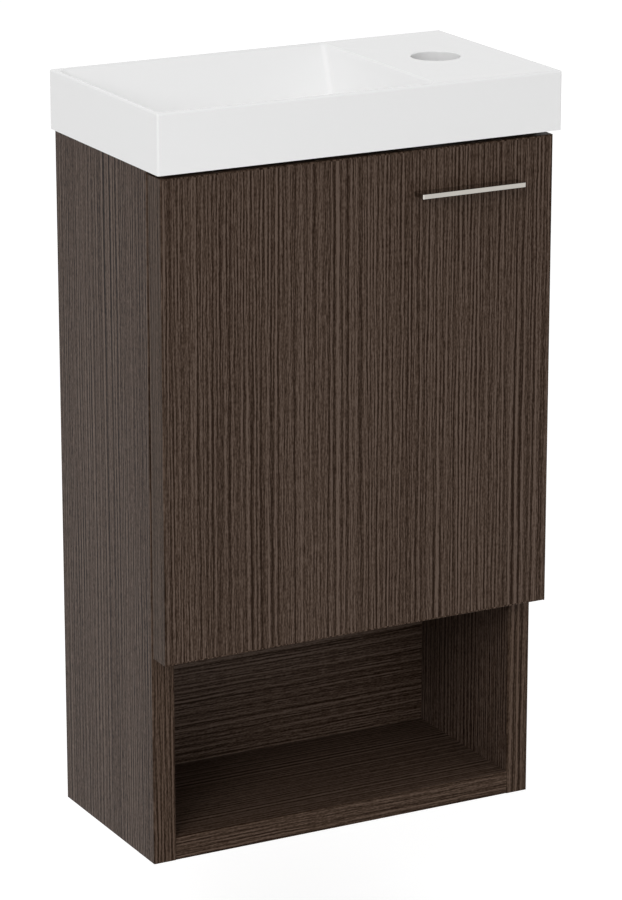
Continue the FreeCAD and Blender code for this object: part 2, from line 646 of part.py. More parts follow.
def make_nodes():
    nodes = {
        "left_side_panel": side_panel(True),
        "right_side_panel": side_panel(False),
        "left_side_edge_band": side_edge_band(True),
        "right_side_edge_band": side_edge_band(False),
        "bottom_panel": bottom_panel(),
        "bottom_edge_band": level_edge_band(0),
        "niche_shelf": niche_shelf(),
        "niche_shelf_edge_band": level_edge_band(SHELF_UNDERSIDE),
        "niche_back_panel": niche_back_panel(),
        "front_rail": front_rail(),
        "hanging_rail": hanging_rail(),
        "dowels": dowels(),
        "basin": basin(),
        "door_panel": door_panel(),
        "door_edge_bands": door_edge_bands(),
        "door_bumpers": door_bumpers(),
        "handle": handle(),
        "handle_screws": handle_screws(),
        "hinge_plate_screws": hinge_plate_screws(),
        "hinge_cup_screws": hinge_cup_screws(),
        "hinge_arm_screws": hinge_arm_screws(),
    }
    for name, height in HINGE_HEIGHTS.items():
        nodes[name + "_hinge_cup"] = hinge_cup(height)
        nodes[name + "_hinge_pin"] = hinge_pin(height)
        nodes[name + "_hinge_arm"] = hinge_arm(height)
        nodes[name + "_hinge_plate"] = hinge_plate(height)
    return nodes


os.makedirs("parts", exist_ok=True)
for node_name, node_shape in make_nodes().items():
    node_shape.exportStep("parts/" + node_name + ".step")
    print(node_name, "solids", len(node_shape.Solids), "valid", node_shape.isValid(),
          "volume", round(node_shape.Volume, 1))
print("door pin at", round(PIN_X, 3), round(PIN_Y, 3))
print("waste hole centre", [round(value, 3) for value in waste_centre()])
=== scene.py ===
# %% [markdown]
# # A slim under-sink cabinet, dressed for its portrait
# The boards, basin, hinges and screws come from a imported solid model, so every
# piece already has its true size and place in metres: +X is right, -Y is the
# front and +Z is up. This lesson adds what the solid model lacks: printed
# woodgrain, glaze, plating, screw threads, a slim basin rim, light and a camera.

# %% Load the frame
import math
import bmesh
import bpy
import numpy as np
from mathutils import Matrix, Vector


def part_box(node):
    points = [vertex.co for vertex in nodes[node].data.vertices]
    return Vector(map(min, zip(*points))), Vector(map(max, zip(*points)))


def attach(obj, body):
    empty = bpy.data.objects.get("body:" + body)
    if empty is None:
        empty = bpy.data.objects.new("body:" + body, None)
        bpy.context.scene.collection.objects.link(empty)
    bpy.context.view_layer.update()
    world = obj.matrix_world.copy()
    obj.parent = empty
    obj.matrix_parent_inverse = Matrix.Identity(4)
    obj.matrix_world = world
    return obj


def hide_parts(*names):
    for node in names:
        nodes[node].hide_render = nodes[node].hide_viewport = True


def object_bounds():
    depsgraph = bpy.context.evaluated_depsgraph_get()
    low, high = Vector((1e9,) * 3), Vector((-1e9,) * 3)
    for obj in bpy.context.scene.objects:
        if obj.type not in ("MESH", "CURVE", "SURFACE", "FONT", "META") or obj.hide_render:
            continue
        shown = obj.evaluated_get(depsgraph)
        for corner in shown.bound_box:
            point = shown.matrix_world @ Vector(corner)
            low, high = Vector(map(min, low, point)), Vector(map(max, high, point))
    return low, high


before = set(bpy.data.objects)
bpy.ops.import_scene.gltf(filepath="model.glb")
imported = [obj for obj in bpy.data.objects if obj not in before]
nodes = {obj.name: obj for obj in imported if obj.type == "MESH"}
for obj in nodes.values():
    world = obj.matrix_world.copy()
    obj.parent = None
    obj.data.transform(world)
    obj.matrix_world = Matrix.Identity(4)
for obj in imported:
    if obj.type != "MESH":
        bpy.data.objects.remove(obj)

scene = bpy.context.scene
cad_low, cad_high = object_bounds()
print("solid model:", len(nodes), "nodes, box in mm",
      [round(1000 * (high - low), 1) for low, high in zip(cad_low, cad_high)])

# %% [markdown]
# ## The camera
# A product picture of a tall, narrow cabinet is taken from far away with a long
# lens, so that the boards hardly converge. The camera stands to the left of the
# front and looks down a little, which shows the door, one side and the deck.
# Placing it by yaw, pitch and distance from the middle of the box keeps the
# numbers readable; Blender's tracking turns them into a rotation. The plain view
# transform shows colours as they are worked out.

# %% Place the camera
VIEW_YAW = math.radians(28.04)
VIEW_PITCH = math.radians(16.70)
VIEW_DISTANCE = 3.631
VIEW_LENS_MM = 159.1
VIEW_RIGHT = 0.0025
VIEW_UP = -0.0040

forward = Vector((math.sin(VIEW_YAW) * math.cos(VIEW_PITCH),
                  math.cos(VIEW_YAW) * math.cos(VIEW_PITCH), -math.sin(VIEW_PITCH)))
rightward = Vector((math.cos(VIEW_YAW), -math.sin(VIEW_YAW), 0))
upward = rightward.cross(forward)
aim = (cad_low + cad_high) / 2 + rightward * VIEW_RIGHT + upward * VIEW_UP

camera = bpy.data.objects.new("camera", bpy.data.cameras.new("camera"))
camera.data.lens = VIEW_LENS_MM
camera.location = aim - forward * VIEW_DISTANCE
camera.rotation_mode = "QUATERNION"
camera.rotation_quaternion = forward.to_track_quat("-Z", "Y")
scene.collection.objects.link(camera)
scene.camera = camera
scene.view_settings.view_transform = "Standard"
print("camera at", [round(value, 3) for value in camera.location])

# %% [markdown]
# ## Short hands for nodes
# Node trees get long when each node takes four lines. One helper fills a node's
# inputs with plain values or with other nodes' outputs, and a second adds a node
# and sets its options. The others name steps that come back in most finishes.

# %% Helpers for node trees


def wire(tree, node, values):
    """Fills inputs, by name or number, with plain values or with other nodes' outputs."""
    for name, value in values.items():
        if isinstance(value, bpy.types.NodeSocket):
            tree.links.new(value, node.inputs[name])
        else:
            node.inputs[name].default_value = value


def put(tree, kind, values=None, **options):
    """Adds a node, sets its options and fills its inputs."""
    node = tree.nodes.new(kind)
    for name, value in options.items():
        setattr(node, name, value)
    wire(tree, node, values or {})
    return node


def math_node(tree, operation, first, second=0.0, third=0.0, clamp=False):
    """One arithmetic step on two or three numbers."""
    return put(tree, "ShaderNodeMath", {0: first, 1: second, 2: third},
               operation=operation, use_clamp=clamp).outputs[0]


def mix_colour(tree, share, first, second):
    """Blends two colours by a share from 0 to 1."""
    return put(tree, "ShaderNodeMix", {"Factor": share, 6: first, 7: second}, data_type="RGBA").outputs[2]


def grey(level):
    """A neutral colour in linear light."""
    return (level, level, level, 1.0)


def new_material(name):
    """A material with a bare Principled shader; returns it, its tree and the shader."""
    material = bpy.data.materials.new(name)
    material.use_nodes = True
    tree = material.node_tree
    return material, tree, tree.nodes["Principled BSDF"]


print("node helpers ready")

# %% Helpers for patterns


def object_place(tree):
    """Places on the piece, in metres."""
    return put(tree, "ShaderNodeTexCoord").outputs["Object"]


def stretched(tree, place, across, along):
    """The place counted in pattern sizes: across the grain in X and Y, along it in Z."""
    return put(tree, "ShaderNodeVectorMath", {0: place, 1: (1 / across, 1 / across, 1 / along)},
               operation="MULTIPLY").outputs[0]


def noise(tree, place, across, along, detail=2.0):
    """Soft random clouds of a width and a length in metres; puts out a value and a colour."""
    return put(tree, "ShaderNodeTexNoise", {"Vector": stretched(tree, place, across, along),
                                            "Scale": 1.0, "Detail": detail}).outputs


print("pattern helpers ready")

# %% [markdown]
# ## A mesh from a grid of points
# The floor and the new pieces are surfaces whose points numpy works out as whole
# arrays. One helper joins neighbouring points of a grid to four-sided faces.

# %% Helper for meshes


def grid_mesh(name, points, closed=False):
    """Quads over points of shape (rows, columns, 3); closed joins the last row and column to the first."""
    rows, columns = points.shape[:2]
    index = np.arange(rows * columns).reshape(rows, columns)
    onward = np.roll(index, -1, axis=1)
    faces = np.stack([index, onward, np.roll(onward, -1, axis=0), np.roll(index, -1, axis=0)], axis=-1)
    if not closed:
        faces = faces[:-1, :-1]
    mesh = bpy.data.meshes.new(name)
    mesh.from_pydata(points.reshape(-1, 3).tolist(), [], faces.reshape(-1, 4).tolist())
    mesh.update()
    return mesh


print("grid helper ready")

# %% [markdown]
# ## A white room
# The piece hangs on a wall, so its rim is at the usual 850 mm and the floor lies
# that far below it. Light comes evenly from all around, as in a tent of white
# cloth. Pure white behind the object isn't more light: camera, mirror and glass
# rays alone see the room at a strength of one, while everything else is lit at a
# plain level. In the same way the floor throws back two thirds of its light, and
# a glow that only those rays see makes it white. Its underside lets light
# through, so that the cabinet can also be looked at from below.

# %% The room
ROOM_LIGHT = 0.585
WHITE = grey(1.0)


def seen_directly(tree):
    """One for camera, mirror and glass rays, nought for the light that falls on things."""
    path = put(tree, "ShaderNodeLightPath").outputs
    seen = math_node(tree, "MAXIMUM", path["Is Camera Ray"], path["Is Glossy Ray"])
    return math_node(tree, "MAXIMUM", seen, path["Is Transmission Ray"])


world = bpy.data.worlds.new("white_room")
world.use_nodes = True
scene.world = world
room = world.node_tree
room_strength = math_node(room, "MULTIPLY_ADD", seen_directly(room), 1 - ROOM_LIGHT, ROOM_LIGHT)
wire(room, room.nodes["Background"], {"Color": WHITE, "Strength": room_strength})
print("room lights with a strength of", ROOM_LIGHT)

# %% The floor
RIM_HEIGHT = 0.850
FLOOR_HALF = 6.0
FLOOR_DULL = grey(0.64)
FLOOR_BRIGHT = grey(0.66)
FLOOR_CLOUD = 0.4
FLOOR_GLOW = 0.66
floor_z = cad_high.z - RIM_HEIGHT


def floor_points():
    """A level square: x and y run from -half to +half, z is the floor's height."""
    run = np.linspace(-FLOOR_HALF, FLOOR_HALF, 3)
    x, y = np.meshgrid(run, run)
    return np.stack([x, y, np.full_like(x, floor_z)], axis=-1)


floor = bpy.data.objects.new("floor", grid_mesh("floor", floor_points()))
scene.collection.objects.link(floor)
floor_paint, floor_tree, floor_shader = new_material("floor_paint")
floor_clouds = noise(floor_tree, object_place(floor_tree), FLOOR_CLOUD, FLOOR_CLOUD)[0]
floor_glow = math_node(floor_tree, "MULTIPLY", seen_directly(floor_tree), FLOOR_GLOW)
wire(floor_tree, floor_shader,
     {"Base Color": mix_colour(floor_tree, floor_clouds, FLOOR_DULL, FLOOR_BRIGHT), "Roughness": 0.9,
      "Specular IOR Level": 0.0, "Emission Color": WHITE, "Emission Strength": floor_glow})
from_below = put(floor_tree, "ShaderNodeNewGeometry").outputs["Backfacing"]
let_through = put(floor_tree, "ShaderNodeBsdfTransparent").outputs[0]
floor_sides = put(floor_tree, "ShaderNodeMixShader",
                  {0: from_below, 1: floor_shader.outputs[0], 2: let_through}).outputs[0]
wire(floor_tree, floor_tree.nodes["Material Output"], {"Surface": floor_sides})
floor.data.materials.append(floor_paint)
print("floor at a height of", round(1000 * floor_z), "mm")

# %% [markdown]
# ## Three soft lamps
# A tent alone gives flat pictures. A wide lamp far off on the left lights the
# basin's walls and gives it edges, and a small one overhead helps its deck. A
# third, low in front like a white card on the floor, sends a little light up into
# the niche. Together they stay weak enough that no pale surface loses its shading.

# %% Lamps


def soft_lamp(name, place, size, watts):
    """A square lamp that looks at the middle of the object."""
    lamp = bpy.data.objects.new(name, bpy.data.lights.new(name, "AREA"))
    lamp.data.shape = "SQUARE"
    lamp.data.size = size
    lamp.data.energy = watts
    lamp.location = place
    lamp.rotation_mode = "QUATERNION"
    lamp.rotation_quaternion = (aim - lamp.location).to_track_quat("-Z", "Y")
    lamp.visible_camera = False
    scene.collection.objects.link(lamp)


soft_lamp("side_lamp", place=(-3.9, -3.5, 2.9), size=2.4, watts=98)
soft_lamp("overhead_lamp", place=(-0.5, -0.7, 2.6), size=0.7, watts=1.8)
soft_lamp("low_card", place=(0.2, -1.4, -0.1), size=0.8, watts=2.2)

# %% [markdown]
# ## Lined woodgrain
# The boards are faced with a printed film: long dark lines a few millimetres
# apart on brown, finer and shorter lines between them, and small flecks. An
# image would repeat and show its pixels close up, so the print is worked out
# from noise on a flat sheet, whose length runs along Z and whose width is X + Y,
# because a board's face is level in one of the two. Noise drawn out along the
# sheet gives streaks; taking away the mean of its two neighbours leaves evenly
# spaced lines, as in straight-grown wood. Three more noises push the lines
# sideways so that they bow, waver and fray, and two make broad and narrow bands
# a little lighter or darker. One more says where the lines stand wide apart and
# where they crowd. Every wooden finish shares the group.

# %% Helpers for groups


def ramp(tree, value, low, high, start=0.0, end=1.0, soft=False):
    """Goes from start to end while the value goes from low to high, straight or as a soft S."""
    return put(tree, "ShaderNodeMapRange", {"Value": value, "From Min": low, "From Max": high,
                                            "To Min": start, "To Max": end},
               interpolation_type="SMOOTHSTEP" if soft else "LINEAR").outputs[0]


def new_group(name, inputs, outputs):
    """An empty shader group with named sockets; returns the tree and its two end nodes."""
    group = bpy.data.node_groups.new(name, "ShaderNodeTree")
    for in_out, sockets in (("INPUT", inputs), ("OUTPUT", outputs)):
        for label, kind in sockets:
            group.interface.new_socket(label, in_out=in_out, socket_type="NodeSocket" + kind)
    return group, group.nodes.new("NodeGroupInput"), group.nodes.new("NodeGroupOutput")


print("group helpers ready")

# %% Steps of the grain
grain, grain_in, grain_out = new_group(
    "lined_grain",
    [("Vector", "Vector"), ("Dark", "Color"), ("Middle", "Color"), ("Light", "Color")],
    [("Color", "Color"), ("Height", "Float"), ("Roughness", "Float")])


def layer(sheet, width, length):
    """Noise between 0 and 1, drawn out along the grain; width and length are in metres."""
    counted = put(grain, "ShaderNodeVectorMath", {0: sheet, 1: (1 / width, 1 / length, 0)},
                  operation="MULTIPLY").outputs[0]
    return put(grain, "ShaderNodeTexNoise", {"Vector": counted, "Scale": 1.0, "Detail": 0.0},
               noise_dimensions="2D").outputs[0]


def aside(sheet, distance):
    """The sheet moved across the grain by a distance, a number or an output."""
    push = put(grain, "ShaderNodeCombineXYZ", {0: distance}).outputs[0]
    return put(grain, "ShaderNodeVectorMath", {0: sheet, 1: push}, operation="ADD").outputs[0]


def lines(sheet, width, length):
    """Noise less the mean of the same noise one width to the left and to the right."""
    sides = math_node(grain, "ADD", layer(aside(sheet, width), width, length),
                      layer(aside(sheet, -width), width, length))
    return math_node(grain, "MULTIPLY_ADD", sides, -0.5, layer(sheet, width, length))


def wander(sheet, width, length, amount):
    """Pushes the sheet sideways by noise from minus to plus half the amount."""
    push = math_node(grain, "MULTIPLY_ADD", layer(sheet, width, length), amount, -amount / 2)
    return aside(sheet, push)


print("grain group takes", [item.name for item in grain_in.outputs if item.name])

# %% Grain from its layers
BASE_SHADE = -0.255
BROAD_BAND_STRENGTH = 0.18
NARROW_BAND_STRENGTH = 0.07
CROWDING_LIMITS = (0.40, 0.60)
WIDE_STRENGTHS = (1.15, 0.30)
CLOSE_STRENGTHS = (0.55, 1.20)
SHORT_STRENGTH = 0.65
FLECK_STRENGTH = 0.70
SPECK_STRENGTH = 0.60
board = put(grain, "ShaderNodeSeparateXYZ", {0: grain_in.outputs["Vector"]}).outputs
sheet_width = math_node(grain, "ADD", board["X"], board["Y"])
flat = put(grain, "ShaderNodeCombineXYZ", {0: sheet_width, 1: board["Z"]}).outputs[0]
bowed = wander(flat, width=0.060, length=0.450, amount=0.0030)
wavy = wander(bowed, width=0.010, length=0.050, amount=0.0010)
frayed = wander(wavy, width=0.004, length=0.010, amount=0.0005)
crowding = layer(bowed, width=0.070, length=0.900)
wide_strength = ramp(grain, crowding, *CROWDING_LIMITS, *WIDE_STRENGTHS, soft=True)
close_strength = ramp(grain, crowding, *CROWDING_LIMITS, *CLOSE_STRENGTHS, soft=True)
shade = BASE_SHADE
for pattern, strength in (
        (layer(bowed, width=0.030, length=0.600), BROAD_BAND_STRENGTH),
        (layer(bowed, width=0.009, length=0.250), NARROW_BAND_STRENGTH),
        (lines(wavy, width=0.0033, length=1.500), wide_strength),
        (lines(wavy, width=0.0018, length=0.160), close_strength),
        (lines(frayed, width=0.0012, length=0.030), SHORT_STRENGTH),
        (layer(frayed, width=0.0009, length=0.010), FLECK_STRENGTH),
        (layer(frayed, width=0.0010, length=0.003), SPECK_STRENGTH)):
    shade = math_node(grain, "MULTIPLY_ADD", pattern, strength, shade)
shade = math_node(grain, "ADD", shade, 0.0, clamp=True)
print("grain lines worked out in", len(grain.nodes), "nodes")

# %% Colour of the grain
ROUGHEST = 0.52
SHINE_OF_LIGHT = 0.12
dark_side = mix_colour(grain, ramp(grain, shade, 0.0, 0.5), grain_in.outputs["Dark"],
                       grain_in.outputs["Middle"])
lined = mix_colour(grain, ramp(grain, shade, 0.5, 1.0), dark_side, grain_in.outputs["Light"])
wire(grain, grain_out, {"Color": lined, "Height": shade,
                        "Roughness": math_node(grain, "MULTIPLY_ADD", shade, -SHINE_OF_LIGHT, ROUGHEST)})
print("grain group has", len(grain.nodes), "nodes")

# %% [markdown]
# ## Bare board
# The film covers faces and front edges only. Edges that the wall or the basin
# hides are left as they were sawn, and show pressed wood chips. Voronoi cells
# give each chip its own tint, and noise keeps their outlines ragged.

# %% Chipboard group


def screen_colour(red, green, blue):
    """A colour as seen on a screen, 0 to 255, turned into linear light."""
    share = np.array([red, green, blue]) / 255
    linear = np.where(share <= 0.04045, share / 12.92, ((share + 0.055) / 1.055) ** 2.4)
    return (*linear.tolist(), 1.0)


CHIP_SIZE = 0.0035
CHIP_COLOURS = (screen_colour(150, 116, 82), screen_colour(205, 172, 130))
GAP_COLOUR = screen_colour(96, 68, 44)
RAGGED_SIZE = 0.004
RAGGED_PUSH = 0.003
chips, chips_in, chips_out = new_group("sawn_chipboard", [("Vector", "Vector")], [("Color", "Color")])
chip_place = chips_in.outputs["Vector"]
ragged = noise(chips, chip_place, RAGGED_SIZE, RAGGED_SIZE)["Color"]
ragged_place = put(chips, "ShaderNodeVectorMath", {0: ragged, 1: (RAGGED_PUSH,) * 3, 2: chip_place},
                   operation="MULTIPLY_ADD").outputs[0]
chip_cells = put(chips, "ShaderNodeTexVoronoi",
                 {"Vector": stretched(chips, ragged_place, CHIP_SIZE, CHIP_SIZE), "Scale": 1.0}).outputs
chip_tint = put(chips, "ShaderNodeSeparateColor", {0: chip_cells["Color"]}).outputs[0]
gaps = ramp(chips, chip_cells["Distance"], 0.35, 0.75, 0.0, 0.5, soft=True)
wire(chips, chips_out, {"Color": mix_colour(chips, gaps, mix_colour(chips, chip_tint, *CHIP_COLOURS),
                                            GAP_COLOUR)})
print("chipboard group has", len(chips.nodes), "nodes")

# %% [markdown]
# ## Laminate on boards and edge bands
# Sides, door and their edges have upright grain; the niche, its floor and the
# rails have level grain. One function makes each variant: the grain is laid along
# Z or X, and two limits say beyond which back or top line the sawn board shows.
# Upright grain would look like end grain on the short ends of a side or a door
# band, so there the film is turned to lie along the edge. The film is satin, with
# fine grooves along its dark lines. On the narrow edge bands its colours are
# painted a shade darker than on the door: painted shade for the shadow the edges
# stand in. On the sides its dark lines are painted darker and stronger: painted
# shade against the sheen that the sides catch at a slant.

# %% Helpers for boards
QUARTER_TURN = math.pi / 2


def laid_place(tree, level, shift=0.0):
    """Places for a pattern that runs along Z, or along X where level, moved sideways by a shift."""
    turn = (0, QUARTER_TURN, 0) if level else (0, 0, 0)
    return put(tree, "ShaderNodeMapping", {"Vector": object_place(tree), "Rotation": turn,
                                           "Location": (shift, shift, 0)}).outputs[0]


def grain_print(tree, place, colours):
    """The grain group in a material, with its dark, middle and light colour; returns its outputs."""
    dark, middle, light = colours
    return put(tree, "ShaderNodeGroup", {"Vector": place, "Dark": dark, "Middle": middle, "Light": light},
               node_tree=grain).outputs


def bumped(tree, height, strength, distance):
    """A normal that leans with a height; distance is the depth of the relief in metres."""
    return put(tree, "ShaderNodeBump", {"Height": height, "Strength": strength,
                                        "Distance": distance}).outputs[0]


def dress(material, *node_names):
    """Gives CAD nodes their finish."""
    for node_name in node_names:
        slots = nodes[node_name].data.materials
        slots.clear()
        slots.append(material)


print("board helpers ready")

# %% One laminate finish
FACE_COLOURS = [screen_colour(33, 18, 6), screen_colour(69, 54, 44), screen_colour(100, 84, 74)]
# painted shade: the sides' film is a darker, harder copy of the door's, set against the sheen they catch at
# a slant
SHADED_SIDE_COLOURS = [screen_colour(17, 4, 0), screen_colour(67, 52, 43), screen_colour(103, 87, 77)]
# painted shade: the edge bands' film is the door's film a shade darker, for the shadow on the narrow edges
SHADED_BAND_COLOURS = [screen_colour(31, 16, 4), screen_colour(64, 49, 38), screen_colour(93, 76, 65)]
SAWN_ROUGHER = 0.35
FILM_SHINE = 0.08
GROOVE_STRENGTH = 0.25
GROOVE_DEPTH = 0.0002
NOWHERE = 9.0
EDGE_SHARE = 0.00005


def laminate(name, level, shift, bare_back=NOWHERE, bare_top=NOWHERE, ends=None, colours=FACE_COLOURS):
    """Lined film on a board; bare_back and bare_top are the lines of sawn edges, in metres.

    shift moves the print, so that no two boards look alike. ends gives the heights of an upright
    board's lower and upper end, and the axes across and along the film there.
    """
    material, tree, shader = new_material(name)
    laid = laid_place(tree, level, shift)
    here = object_place(tree)
    axes = put(tree, "ShaderNodeSeparateXYZ", {0: here}).outputs
    if ends:
        low, high, across, along = ends
        at_end = math_node(tree, "MAXIMUM", math_node(tree, "LESS_THAN", axes["Z"], low + EDGE_SHARE),
                           math_node(tree, "GREATER_THAN", axes["Z"], high - EDGE_SHARE))
        turned = put(tree, "ShaderNodeCombineXYZ", {0: axes[across], 2: axes[along]}).outputs[0]
        laid = put(tree, "ShaderNodeMix", {"Factor": at_end, 4: laid, 5: turned},
                   data_type="VECTOR").outputs[1]
    film = grain_print(tree, laid, colours)
    colour, roughness = film["Color"], film["Roughness"]
    if min(bare_back, bare_top) < NOWHERE:
        sawn = put(tree, "ShaderNodeGroup", {"Vector": here}, node_tree=chips).outputs["Color"]
        behind = math_node(tree, "GREATER_THAN", axes["Y"], bare_back - EDGE_SHARE)
        on_top = math_node(tree, "GREATER_THAN", axes["Z"], bare_top - EDGE_SHARE)
        bare = math_node(tree, "MAXIMUM", behind, on_top)
        colour = mix_colour(tree, bare, colour, sawn)
        roughness = math_node(tree, "MULTIPLY_ADD", bare, SAWN_ROUGHER, roughness, clamp=True)
    wire(tree, shader, {"Base Color": colour, "Roughness": roughness, "Specular IOR Level": FILM_SHINE,
                        "Normal": bumped(tree, film["Height"], GROOVE_STRENGTH, GROOVE_DEPTH)})
    return material


print("laminate ready, sawn edges under a roughness of", ROUGHEST + SAWN_ROUGHER)

# %% Laminate on its nodes
side_low, side_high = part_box("left_side_panel")
carcass_back, carcass_top = side_high.y, side_high.z
door_low, door_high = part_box("door_edge_bands")
side_ends = (side_low.z, carcass_top, "X", "Y")
door_ends = (door_low.z, door_high.z, "Y", "X")
# the sides and all edge bands wear darker copies of the film, which are painted shade
dress(laminate("upright_side_film_painted_shade", False, 0.31, carcass_back, carcass_top, side_ends, SHADED_SIDE_COLOURS),
      "left_side_panel", "right_side_panel")
dress(laminate("upright_door_film", False, 0.0), "door_panel")
dress(laminate("upright_side_band_painted_shade", False, 0.57, colours=SHADED_BAND_COLOURS),
      "left_side_edge_band", "right_side_edge_band")
dress(laminate("door_band_painted_shade", False, 0.83, ends=door_ends, colours=SHADED_BAND_COLOURS), "door_edge_bands")
dress(laminate("level_shelf_film", True, 0.0, carcass_back), "bottom_panel", "niche_shelf")
dress(laminate("level_rail_film", True, 0.44, NOWHERE, carcass_top), "front_rail", "hanging_rail")
dress(laminate("level_back_film", True, 0.19), "niche_back_panel")
dress(laminate("level_band_painted_shade", True, 0.71, colours=SHADED_BAND_COLOURS),
      "bottom_edge_band", "niche_shelf_edge_band")
print("laminate on boards and bands; carcass back at", round(1000 * carcass_back, 2), "mm")

# %% [markdown]
# ## The glazed basin
# The basin is white and smooth but not a mirror: its skin is a thin clear layer
# over cast white stone. A little coat over a satin base gives that soft gloss.
# A very wide, very low ripple in the normal stops reflections from looking
# machined, and a faint cloudiness stops the white from being one flat number.

# %% Basin glaze
GLAZE_DULL = grey(0.945)
GLAZE_BRIGHT = grey(0.95)
CLOUD_SIZE = 0.003
RIPPLE_SIZE = 0.045
RIPPLE_STRENGTH = 0.05
RIPPLE_HEIGHT = 0.0004
glaze, glaze_tree, glaze_shader = new_material("white_glaze")
glaze_place = object_place(glaze_tree)
cloudiness = noise(glaze_tree, glaze_place, CLOUD_SIZE, CLOUD_SIZE)[0]
ripple = noise(glaze_tree, glaze_place, RIPPLE_SIZE, RIPPLE_SIZE, detail=0.0)[0]
wire(glaze_tree, glaze_shader,
     {"Base Color": mix_colour(glaze_tree, cloudiness, GLAZE_DULL, GLAZE_BRIGHT),
      "Roughness": ramp(glaze_tree, cloudiness, 0.3, 0.7, 0.26, 0.27),
      "Coat Weight": 0.25, "Coat Roughness": 0.06,
      "Normal": bumped(glaze_tree, ripple, RIPPLE_STRENGTH, RIPPLE_HEIGHT)})
dress(glaze, "basin")
print("basin glazed")

# %% [markdown]
# ## Metal: the handle and the hinges
# Both have a thin bright skin of plating. Polishing leaves hair lines along the
# piece, which a group draws as noise stretched many times longer than it is wide;
# it puts out a small change of roughness and of height. The handle's chrome
# mirrors the white room and the dark door; the hinges' nickel is softer.

# %% Metal finishes
HAIR_WIDTH = 0.0003
HAIR_LENGTH = 0.020
HAZE_SIZE = 0.012
HAIR_STRENGTH = 0.06
HAIR_DEPTH = 0.00005
hairs, hairs_in, hairs_out = new_group(
    "polish_lines", [("Vector", "Vector"), ("Smooth", "Float"), ("Rough", "Float")],
    [("Roughness", "Float"), ("Height", "Float"), ("Haze", "Float")])
hair_lines = noise(hairs, hairs_in.outputs["Vector"], HAIR_WIDTH, HAIR_LENGTH)[0]
haze = noise(hairs, hairs_in.outputs["Vector"], HAZE_SIZE, HAZE_SIZE, detail=3.0)[0]
polish_share = math_node(hairs, "MULTIPLY", math_node(hairs, "ADD", hair_lines, haze), 0.5)
wire(hairs, hairs_out, {"Height": hair_lines, "Haze": haze,
                        "Roughness": ramp(hairs, polish_share, 0.35, 0.65, hairs_in.outputs["Smooth"],
                                          hairs_in.outputs["Rough"])})


def plated(name, level, dull, bright, smooth, rough):
    """A metal skin with polish lines along X, where level, or Z; its tint clouds from dull to bright."""
    material, tree, shader = new_material(name)
    polish = put(tree, "ShaderNodeGroup", {"Vector": laid_place(tree, level), "Smooth": smooth,
                                           "Rough": rough}, node_tree=hairs).outputs
    wire(tree, shader, {"Base Color": mix_colour(tree, polish["Haze"], dull, bright), "Metallic": 1.0,
                        "Roughness": polish["Roughness"],
                        "Normal": bumped(tree, polish["Height"], HAIR_STRENGTH, HAIR_DEPTH)})
    return material


chrome = plated("chrome_plate", level=True, dull=(0.445, 0.42, 0.385, 1), bright=(0.525, 0.50, 0.46, 1),
                smooth=0.06, rough=0.13)
nickel = plated("nickel_plate", level=False, dull=(0.56, 0.54, 0.51, 1), bright=(0.68, 0.66, 0.63, 1),
                smooth=0.18, rough=0.34)
dress(chrome, "handle")
dress(nickel, *[level + "_hinge_" + piece for level in ("upper", "lower")
                for piece in ("cup", "pin", "arm", "plate")])
print("chrome handle and nickel hinges")

# %% [markdown]
# ## Dowels and bumpers
# Beech dowels hide in the joints; the grain group with pale colours dresses
# them. The two bumpers that soften the door's closing are clear plastic domes,
# so they get transmission, a little roughness and a faint unevenness.

# %% Dowel and bumper finishes
BEECH_COLOURS = [screen_colour(150, 108, 68), screen_colour(198, 160, 116), screen_colour(222, 190, 148)]
CLEAR_DULL = (0.86, 0.87, 0.86, 1)
CLEAR_BRIGHT = (0.95, 0.95, 0.94, 1)
CLEAR_CLOUD = 0.002
beech, beech_tree, beech_shader = new_material("turned_beech")
beech_grain = grain_print(beech_tree, laid_place(beech_tree, level=True), BEECH_COLOURS)
wire(beech_tree, beech_shader, {"Base Color": beech_grain["Color"], "Roughness": 0.7})
dress(beech, "dowels")

clear, clear_tree, clear_shader = new_material("clear_bumper")
clear_clouds = noise(clear_tree, object_place(clear_tree), CLEAR_CLOUD, CLEAR_CLOUD)[0]
wire(clear_tree, clear_shader,
     {"Base Color": mix_colour(clear_tree, clear_clouds, CLEAR_DULL, CLEAR_BRIGHT),
      "Roughness": ramp(clear_tree, clear_clouds, 0.3, 0.7, 0.10, 0.22),
      "Transmission Weight": 0.85, "IOR": 1.49})
dress(clear, "door_bumpers")
print("dowels and bumpers dressed")

# %% [markdown]
# ## A screw with recess and thread
# Plain pegs stand for the screws in the solid model. The real ones have a domed
# head with a cross-shaped recess and a threaded shank, and the heads show as
# soon as the door opens. A screw is a turned shape, so its skin is a grid: rows
# run from the middle of the head over the rim and down the shank, columns go
# round. The recess lowers the head near two crossing lines, and the thread lets
# the shank's radius rise and fall along a helix. Whole arrays give all points of
# a screw at once. The first and the last row are one point each, which closes
# the skin.

# %% The points of a screw
SCREW_SIDES = 64
HEAD_RINGS = 26
ROWS_PER_TURN = 8
ARM_HALF_WIDTH = 0.17
ARM_REACH = 0.62
ARM_WALL = 0.04
HEAD_WALL = 0.35
RECESS_DEPTH = 0.80
TOOTH_DEPTH = 0.36
TOOTH_HALF_WIDTH = 0.32


